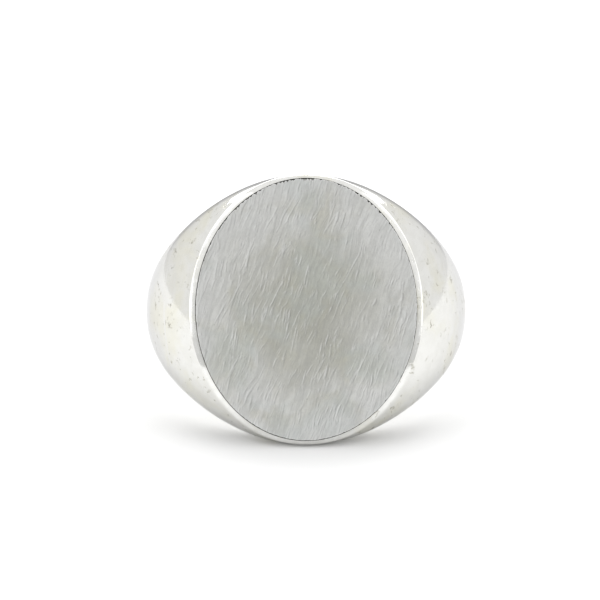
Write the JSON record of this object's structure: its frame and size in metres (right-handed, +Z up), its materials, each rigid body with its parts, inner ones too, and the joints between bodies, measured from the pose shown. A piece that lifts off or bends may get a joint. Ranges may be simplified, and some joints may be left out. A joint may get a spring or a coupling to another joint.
{
  "type": "signet ring",
  "caption": "Oval-faced signet ring with a brushed flat table, polished domed shoulders that taper to a narrow D-section shank, and a lined hollow head.",
  "frame": {"origin": "Middle of the bounding box in X and Y, on the surface that the ring lies on", "axes": "+Z is up. The ring lies on its side: the brushed face looks towards -Y and up by the tilt that its wide head gives it, +X runs across the face to the viewer's right, and +Y runs from the face to the back of the shank"},
  "size_m": [0.0214, 0.0238, 0.0168],
  "materials": {
    "brushed_silver": "satin brushed on a slant, lightly tarnished",
    "polished_silver": "polished, with fine wear scratches and small specks",
    "lining_silver": "polished on the finger side",
    "silver_solder": "filed flush and polished"
  },
  "bodies": {
    "root": {"head_wall": "polished_silver", "face_plate": "brushed_silver", "table_solder_seam": "silver_solder", "finger_lining": "lining_silver", "lining_solder_seam": "silver_solder", "head_solder_seam_left": "silver_solder", "head_solder_seam_right": "silver_solder", "shoulder_left": "polished_silver", "shoulder_right": "polished_silver", "shank_solder_seam_left": "silver_solder", "shank_solder_seam_right": "silver_solder", "rear_shank": "polished_silver"}
  },
  "joints": []
}
